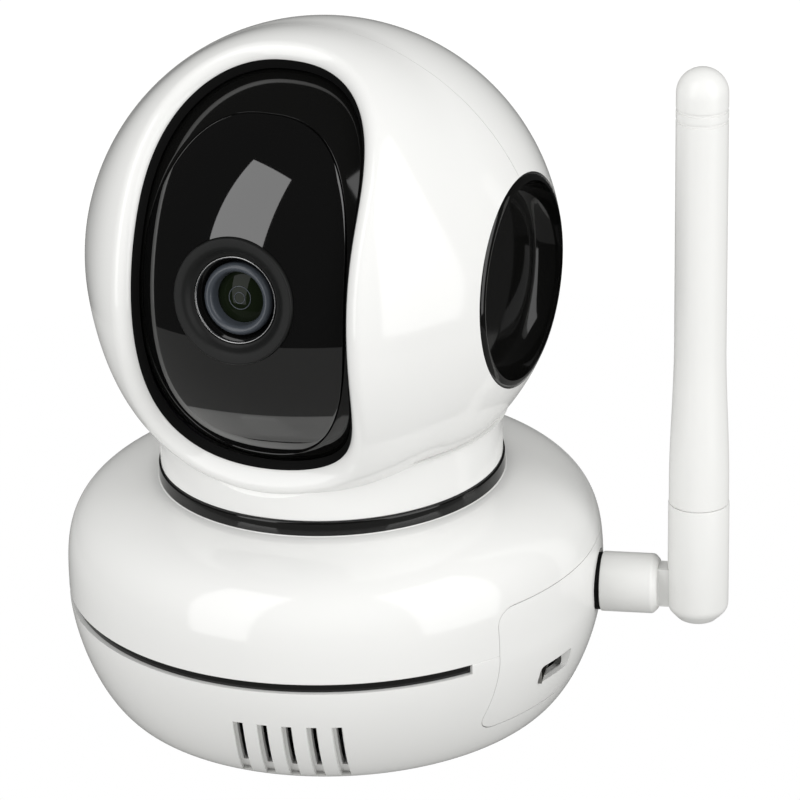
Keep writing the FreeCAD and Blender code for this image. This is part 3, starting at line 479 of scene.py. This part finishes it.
# Side caps.  Glossy black dishes over the ends of the tilt axle: a flat floor inside a rolled
# ring that stands just proud of the sphere.
roll = np.linspace(0, math.pi / 2, 14)
cap_radii = np.concatenate([[1e-6, 0.0165], 0.0153 + 0.0012 * np.cos(roll),
                            0.0132 + 0.0021 * np.cos(roll[1:]), [0.0131, 1e-6]])
cap_depths = np.concatenate([[0.0278, 0.0278], 0.0322 + 0.00115 * np.sin(roll),
                             0.03335 - 0.00405 * np.sin(roll[1:]) ** 1.3, [0.0293, 0.0293]])
cap_section = np.stack([cap_radii, cap_depths], axis=-1)
for side, label in ((-1, "left"), (1, "right")):
    ring = turned(*cap_section.T, columns=240)
    points = np.stack([side * ring[..., 2], ring[..., 0], ring[..., 1]], axis=-1)
    finished("side_cap_" + label, skin_mesh("cap", in_head(points)), black_gloss, "head",
             ["ear_cap_" + label])

# Camera ball.  A glossy black sphere with flat flanks, which tilts on the axles.  An oval
# smoked window, flush with the ball, covers the lens and the infrared lamps.
BALL_R = 0.0340
BALL_FLANK = 0.0215
WINDOW_HALF = 0.0167
WINDOW_TALL = 0.0263


def window_directions(spread, grow):
    """Points of the window's outline on the ball: the superellipse is drawn square on to the
    lens and run back to the sphere."""
    across, up = oval(spread, 2.5, 2.5)
    x = (WINDOW_HALF + grow) * across
    z = (WINDOW_TALL + grow) * up
    return np.stack([x, -np.sqrt(BALL_R**2 - x**2 - z**2), z], axis=-1) / BALL_R


lens_back = np.array([0.0, 1.0, 0.0])
edge_steps = ((0.00003, -0.0020), (0.00003, -0.00022), (0.00010, -0.00005), (0.00022, 0.0))
rows = [window_directions(spread, grow) * (BALL_R + drop) for grow, drop in edge_steps]
last = window_directions(spread, edge_steps[-1][0])
rows += [swept_back(last, lens_back, share) * BALL_R for share in np.linspace(0, 0.998, 110)[1:]]
core = [swept_back(last, lens_back, share) * (BALL_R - 0.002) for share in np.linspace(0.998, 0, 30)]
ball = np.stack(core + rows)
flank = np.where(np.arange(len(ball)) < len(core), BALL_FLANK - 0.002, BALL_FLANK)[:, None]
ball[..., 0] = np.clip(ball[..., 0], -flank, flank)
finished("ball_skin", skin_mesh("ball", in_ball(ball)), black_gloss, "camera_ball",
         ["ball_front_shell", "ball_rear_shell"])

smoked_window = moulded_plastic("smoked_window", (0.0025, 0.0025, 0.0025), 0.03, 0.008, 0.01, specular=1.0)
BEZEL_R = 0.00975
shares = np.linspace(1, 0, 70)
rows = []
for grow, drop in ((-0.00003, -0.0020), (-0.00003, -0.00022), (-0.00010, -0.00005), (-0.00022, 0.0)):
    rows.append(window_directions(spread, grow) * (BALL_R + drop))
rim = window_directions(spread, -0.00022) * BALL_R
hole = BEZEL_R + 0.00001
ring = np.stack([hole * np.cos(spread), 0 * spread, hole * np.sin(spread)], axis=-1)
for share in shares[1:]:
    flat = ring * (1 - share) + rim * share
    flat[..., 1] = -np.sqrt(BALL_R**2 - flat[..., 0] ** 2 - flat[..., 2] ** 2)
    rows.append(flat)
for share in np.linspace(0, 1, 20):
    flat = ring * (1 - share) + rim * share
    flat[..., 1] = -np.sqrt((BALL_R - 0.002) ** 2 - flat[..., 0] ** 2 - flat[..., 2] ** 2)
    rows.append(flat)
finished("window_pane", skin_mesh("pane", in_ball(np.stack(rows)), closed_rows=True), smoked_window,
         "camera_ball", ["window"])

# Lens.  A grey bezel stands just proud of the window; inside it are the black barrel, a pale
# trim ring and the domed front glass.
bezel_grey = moulded_plastic("bezel_grey", (0.010, 0.0104, 0.0102), 0.48, 0.1, 0.04, specular=0.22)
trim_metal = moulded_plastic("trim_metal", (0.050, 0.058, 0.070), 0.3, 0.05, 0.04)


def turned_ahead(section, columns=200):
    """A closed (radius, depth ahead of the ball's centre) section carried round the lens."""
    ring = turned(*np.asarray(section).T, columns=columns)
    return in_ball(np.stack([ring[..., 0], -ring[..., 2], ring[..., 1]], axis=-1))


bezel_section = rounded_section([(0.00968, 0.0280), (0.00968, 0.0331), (0.0095, 0.0333), (0.0080, 0.03325),
                                 (0.0072, 0.0323), (0.00676, 0.0322), (0.00676, 0.0280)],
                                [0.0001, 0.0001, 0.0001, 0.0005, 0.0003, 0.0001, 0.0001])
finished("bezel", skin_mesh("bezel", turned_ahead(bezel_section), closed_rows=True), bezel_grey,
         "camera_ball", ["lens_bezel"])
barrel_section = rounded_section([(0.0056, 0.0180), (0.00675, 0.0180), (0.00675, 0.0312), (0.0062, 0.0309),
                                  (0.0056, 0.0300)], [0.0001, 0.0001, 0.00015, 0.0002, 0.0002])
hoop_turn = np.linspace(0, 2 * math.pi, 20, endpoint=False)
hoop_section = np.stack([0.00655 + 0.0002 * np.cos(hoop_turn), 0.0319 + 0.00035 * np.sin(hoop_turn)], axis=-1)
dark_chrome = moulded_plastic("dark_chrome", (0.30, 0.30, 0.30), 0.25, 0.02, 0.03)
dark_chrome.node_tree.nodes["Principled BSDF"].inputs["Metallic"].default_value = 1.0
finished("barrel_hoop", skin_mesh("hoop", turned_ahead(hoop_section), closed_rows=True), dark_chrome,
         "camera_ball")
finished("barrel", skin_mesh("barrel", turned_ahead(barrel_section), closed_rows=True), black_gloss,
         "camera_ball", ["lens_barrel"])
bead_turn = np.linspace(-0.2, math.pi, 22)
bead = np.stack([0.00482 + 0.00073 * np.cos(bead_turn), 0.0308 + 0.00095 * np.sin(bead_turn)], axis=-1)
trim_section = np.concatenate([[(0.0039, 0.0294), (0.00555, 0.0294)], bead, [(0.0039, 0.0300)]])
finished("trim", skin_mesh("trim", turned_ahead(trim_section), closed_rows=True), trim_metal,
         "camera_ball", ["lens_trim_ring"])


def coated_glass():
    """Coated optical glass: dark green at the middle, glossy, with a faint blue sheen."""
    material = moulded_plastic("lens_glass", (0.006, 0.009, 0.004), 0.03, 0.0, 0.005, specular=0.12,
                               coat=0.05)
    shader = material.node_tree.nodes["Principled BSDF"]
    shader.inputs["Coat Roughness"].default_value = 0.02
    shader.inputs["Coat Tint"].default_value = (0.6, 0.75, 1.0, 1.0)
    return material


lens_coating = coated_glass()
dome = np.linspace(0, 1, 24)
glass_radii = np.concatenate([[1e-6], 0.00415 * dome[1:], [0.00415, 1e-6]])
glass_depths = np.concatenate([[0.0306], 0.0306 - 0.0009 * dome[1:] ** 2, [0.0290, 0.0290]])
glass_section = np.stack([glass_radii, glass_depths], axis=-1)
finished("front_glass", skin_mesh("glass", turned_ahead(glass_section)), lens_coating, "camera_ball",
         ["lens_glass"])
for name, reach, lift in (("front_element", 0.00175, 0.03050), ("rear_element", 0.00085, 0.03060)):
    hoop = np.stack([reach + 0.00007 * np.cos(hoop_turn), lift + 0.00006 * np.sin(hoop_turn)], axis=-1)
    element = skin_mesh(name, turned_ahead(hoop, columns=96), closed_rows=True)
    finished(name, element, trim_metal, "camera_ball")

# Antenna.  A satin white knuckle swivels in the rear panel; the sleeve folds on a pin through
# it, and the whip above is one long moulding with two fine rings near its tip.
antenna_white = moulded_plastic("antenna_white", (0.80, 0.80, 0.785), 0.32, 0.05, 0.03)
PIVOT_Y = 0.0575


def standing(section, lean=math.radians(0.95), columns=128):
    """A closed (radius, height) section carried round the antenna's line, which leans back
    about the pivot."""
    ring = turned(*np.asarray(section).T, columns=columns)
    return turn_x(ring - [0, 0, AERIAL_HEIGHT], -lean) + [0, PIVOT_Y, AERIAL_HEIGHT]


tip = np.linspace(0, math.pi / 2, 14)
rise = np.linspace(0, 1, 16)
whip_radii = [np.array([1e-6, 0.00445, 0.00465, 0.00465]), 0.00465 - 0.00065 * (3 * rise**2 - 2 * rise**3),
              np.array([0.0040])]
whip_levels = [np.array([0.03452, 0.03452, 0.03472, 0.0381]), 0.0381 + 0.0227 * rise, np.array([0.0900])]
for level in (0.0973, 0.0990):
    whip_radii.append(np.array([0.0040, 0.0040, 0.00375, 0.00375, 0.0040]))
    whip_levels.append(level + np.array([-0.0003, -0.0001, 0.0, 0.0004, 0.0005]))
whip_radii.append(0.0040 * np.cos(tip))
whip_levels.append(0.1016 + 0.0040 * np.sin(tip))
whip_radii = np.maximum(np.concatenate(whip_radii), 1e-6)
whip = skin_mesh("whip", standing(np.stack([whip_radii, np.concatenate(whip_levels)], axis=-1)))
finished("whip_skin", whip, antenna_white, "whip", ["antenna_whip"])
sleeve_section = rounded_section([(1e-6, 0.0147), (0.00295, 0.0147), (0.00475, 0.0167), (0.00475, 0.0345),
                                  (1e-6, 0.0345)], [1e-7, 0.0006, 0.0008, 0.0001, 1e-7])
slot_half = 0.00185
slot_plan = ((-slot_half, 0.045), (slot_half, 0.045), (slot_half, PIVOT_Y + 0.0033),
             (-slot_half, PIVOT_Y + 0.0033))
slot_bar = np.array([[[x, y, z] for x, y in slot_plan] for z in (0.0, AERIAL_HEIGHT + 0.0033)])
sleeve = shaped(skin_mesh("sleeve", standing(sleeve_section)), [skin_mesh("slot", slot_bar)])
finished("sleeve_skin", sleeve, antenna_white, "whip", ["antenna_sleeve"])


def lying(section, columns=128):
    """A closed (radius, y) section carried round the antenna's swivel line."""
    ring = turned(*np.asarray(section).T, columns=columns)
    return np.stack([ring[..., 0], ring[..., 2], AERIAL_HEIGHT + ring[..., 1]], axis=-1)


# The bushing is matt black as painted shade: its black stands for the thin shadow line where the knuckle's
# collar meets the casing.
root_section = rounded_section([(1e-6, 0.0390), (0.0045, 0.0390), (0.0045, 0.0425), (1e-6, 0.0425)],
                               [1e-7, 0.0001, 0.0001, 1e-7])
finished("bushing", skin_mesh("bushing", lying(root_section)), black_matte, "base",
         ["antenna_bushing"])
collar_section = rounded_section([(1e-6, 0.0425), (0.0047, 0.0425), (0.0047, 0.0506), (0.0039, 0.0514),
                                  (1e-6, 0.0514)], [1e-7, 0.0002, 0.0003, 0.0003, 1e-7])
finished("knuckle_collar", skin_mesh("collar", lying(collar_section)), antenna_white, "swivel",
         ["antenna_knuckle"])
tongue_line = np.linspace(-math.pi / 2, math.pi / 2, 24)
tongue_end = np.stack([PIVOT_Y + 0.00315 * np.cos(tongue_line), 0.00315 * np.sin(tongue_line)], axis=-1)
outline = np.concatenate([[[0.0505, -0.00315]], tongue_end, [[0.0505, 0.00315]]])
tongue = np.stack([np.stack([np.full(len(outline), x), outline[:, 0], AERIAL_HEIGHT + outline[:, 1]], axis=-1)
                   for x in (-0.0017, 0.0017)])
finished("knuckle_tongue", skin_mesh("tongue", tongue), antenna_white, "swivel")

# Pairing button.  A small white push button in the rear panel, beside the inlet.
button_section = rounded_section([(1e-6, 0.0326), (0.0020, 0.0326), (0.0020, 0.0394), (1e-6, 0.0394)],
                                 [1e-7, 0.0001, 0.0004, 1e-7])
ring = turned(*button_section.T, columns=64)
points = np.stack([ring[..., 0] - PORT_ACROSS, ring[..., 2], ring[..., 1] + BUTTON_HEIGHT], axis=-1)
finished("button_cap", skin_mesh("button", points), white_gloss, "button", ["pair_button"])

# Everything else keeps its CAD shape: boards, motors, gears, metalwork and the rubber foot.
tin_plate = moulded_plastic("tin_plate", (0.55, 0.54, 0.52), 0.28, 0.1, 0.06)
tin_plate.node_tree.nodes["Principled BSDF"].inputs["Metallic"].default_value = 1.0
screw_steel = moulded_plastic("screw_steel", (0.50, 0.50, 0.50), 0.35, 0.15, 0.06)
screw_steel.node_tree.nodes["Principled BSDF"].inputs["Metallic"].default_value = 1.0
brass = moulded_plastic("brass_fitting", (0.60, 0.44, 0.20), 0.3, 0.1, 0.06)
brass.node_tree.nodes["Principled BSDF"].inputs["Metallic"].default_value = 1.0
finishes = {
    "white_gloss": white_gloss,
    "black_gloss": black_gloss,
    "black_matte": black_matte,
    "bezel_grey": bezel_grey,
    "trim_ring": trim_metal,
    "smoked_window": smoked_window,
    "lens_glass": lens_coating,
    "clear_resin": moulded_plastic("clear_resin", (0.45, 0.45, 0.5), 0.1, 0.02, 0.02),
    "screw_steel": screw_steel,
    "foot_rubber": moulded_plastic("foot_rubber", (0.02, 0.02, 0.02), 0.85, 0.6, 0.05),
    "circuit_board": moulded_plastic("circuit_board", (0.02, 0.12, 0.05), 0.3, 0.2, 0.06),
    "tin_plate": tin_plate,
    "speaker_film": moulded_plastic("speaker_film", (0.03, 0.03, 0.03), 0.6, 0.4, 0.05),
    "grey_plastic": moulded_plastic("grey_plastic", (0.12, 0.12, 0.13), 0.45, 0.2, 0.05),
    "acetal": moulded_plastic("acetal", (0.62, 0.61, 0.55), 0.4, 0.1, 0.05),
    "brass_fitting": brass,
    "antenna_white": antenna_white,
}
for part in frame["record"]["subparts"]:
    mesh = cad[part["node"]].data
    mesh.materials.clear()
    mesh.materials.append(finishes[part["material_slot"]])

# Studio.  A pale table that throws a little light back up, two tall soft boxes on either side
# of the camera, and a white room that fills the shadows but is dim in reflections.
room = bpy.data.worlds.new("room")
bpy.context.scene.world = room
room.use_nodes = True
nodes = room.node_tree.nodes
links = room.node_tree.links
sky = nodes["Background"]
sky.inputs["Color"].default_value = (1.0, 1.0, 0.99, 1)
seen = nodes.new("ShaderNodeLightPath")
fill = nodes.new("ShaderNodeMath")
fill.operation = "MULTIPLY_ADD"
fill.inputs[1].default_value = 0.60
fill.inputs[2].default_value = 0.04
links.new(seen.outputs["Is Diffuse Ray"], fill.inputs[0])
plain = nodes.new("ShaderNodeMath")
plain.operation = "ADD"
links.new(seen.outputs["Is Camera Ray"], plain.inputs[0])
links.new(fill.outputs[0], plain.inputs[1])
links.new(plain.outputs[0], sky.inputs["Strength"])

floor_mesh = skin_mesh("studio_floor", turned([0.17, 0.17], [0.0, -0.002], columns=120))
studio_floor = bpy.data.objects.new("studio_floor", floor_mesh)
bpy.context.scene.collection.objects.link(studio_floor)
paper = bpy.data.materials.new("paper")
paper.use_nodes = True
tree = paper.node_tree
tree.nodes["Principled BSDF"].inputs["Base Color"].default_value = (0.22, 0.22, 0.216, 1)
tree.nodes["Principled BSDF"].inputs["Roughness"].default_value = 0.9
glow = tree.nodes.new("ShaderNodeEmission")
path = tree.nodes.new("ShaderNodeLightPath")
bounce = tree.nodes.new("ShaderNodeMath")
bounce.operation = "MULTIPLY"
bounce.inputs[1].default_value = 0.34
tree.links.new(path.outputs["Is Diffuse Ray"], bounce.inputs[0])
tree.links.new(bounce.outputs[0], tree.nodes["Principled BSDF"].inputs["Emission Strength"])
tree.nodes["Principled BSDF"].inputs["Emission Color"].default_value = (1.0, 1.0, 0.99, 1)
both = tree.nodes.new("ShaderNodeMixShader")
tree.links.new(path.outputs["Is Camera Ray"], both.inputs["Fac"])
tree.links.new(tree.nodes["Principled BSDF"].outputs["BSDF"], both.inputs[1])
tree.links.new(glow.outputs["Emission"], both.inputs[2])
tree.links.new(both.outputs["Shader"], tree.nodes["Material Output"].inputs["Surface"])
floor_mesh.materials.append(paper)

# Camera.  A long lens that looks down at the object from its lens side, rolled by two degrees.
LOOK_AT = np.array([-0.00212, 0.01070, 0.04844])
BACK = np.array([0.90297, 0.17879, 0.39074])
RIGHT = np.array([-0.19423, 0.98096, 0.0])
ROLL = math.radians(-1.919)
BACK = BACK / np.linalg.norm(BACK)
RIGHT = RIGHT / np.linalg.norm(RIGHT)
up = np.cross(BACK, RIGHT)
camera_x = math.cos(ROLL) * RIGHT + math.sin(ROLL) * up
camera_y = -math.sin(ROLL) * RIGHT + math.cos(ROLL) * up
camera_data = bpy.data.cameras.new("camera")
camera_data.sensor_width = 36.0
camera_data.lens = 231.03
camera_data.clip_start = 0.05
camera = bpy.data.objects.new("camera", camera_data)
bpy.context.scene.collection.objects.link(camera)
CAMERA_AWAY = 0.8
matrix = np.eye(4)
matrix[:3, :3] = np.stack([camera_x, camera_y, BACK], axis=1)
matrix[:3, 3] = LOOK_AT + CAMERA_AWAY * BACK
camera.matrix_world = Matrix(matrix.tolist())
bpy.context.scene.camera = camera
bpy.context.scene.view_settings.view_transform = "Standard"


def soft_box(name, azimuth, elevation, distance, wide, tall, radiance):
    """A flat lamp that faces the object, placed by its bearing from the camera's side and its
    height angle.  Power is radiance times area times pi."""
    bearing = math.atan2(BACK[1], BACK[0]) + math.radians(azimuth)
    flat = math.cos(math.radians(elevation))
    way = np.array([flat * math.cos(bearing), flat * math.sin(bearing), math.sin(math.radians(elevation))])
    lamp = bpy.data.lights.new(name, "AREA")
    lamp.shape = "RECTANGLE"
    lamp.size = wide
    lamp.size_y = tall
    lamp.energy = radiance * wide * tall * math.pi
    thing = bpy.data.objects.new(name, lamp)
    bpy.context.scene.collection.objects.link(thing)
    sideways = np.cross([0, 0, 1.0], way)
    sideways /= np.linalg.norm(sideways)
    place = np.eye(4)
    place[:3, :3] = np.stack([sideways, np.cross(way, sideways), way], axis=1)
    place[:3, 3] = way * distance + [0, 0, 0.06]
    thing.matrix_world = Matrix(place.tolist())


soft_box("left_box", -49.0, 22.0, 1.2, 0.62, 1.9, 2.3)
soft_box("right_box", 52.0, 21.0, 1.2, 0.85, 2.0, 2.05)
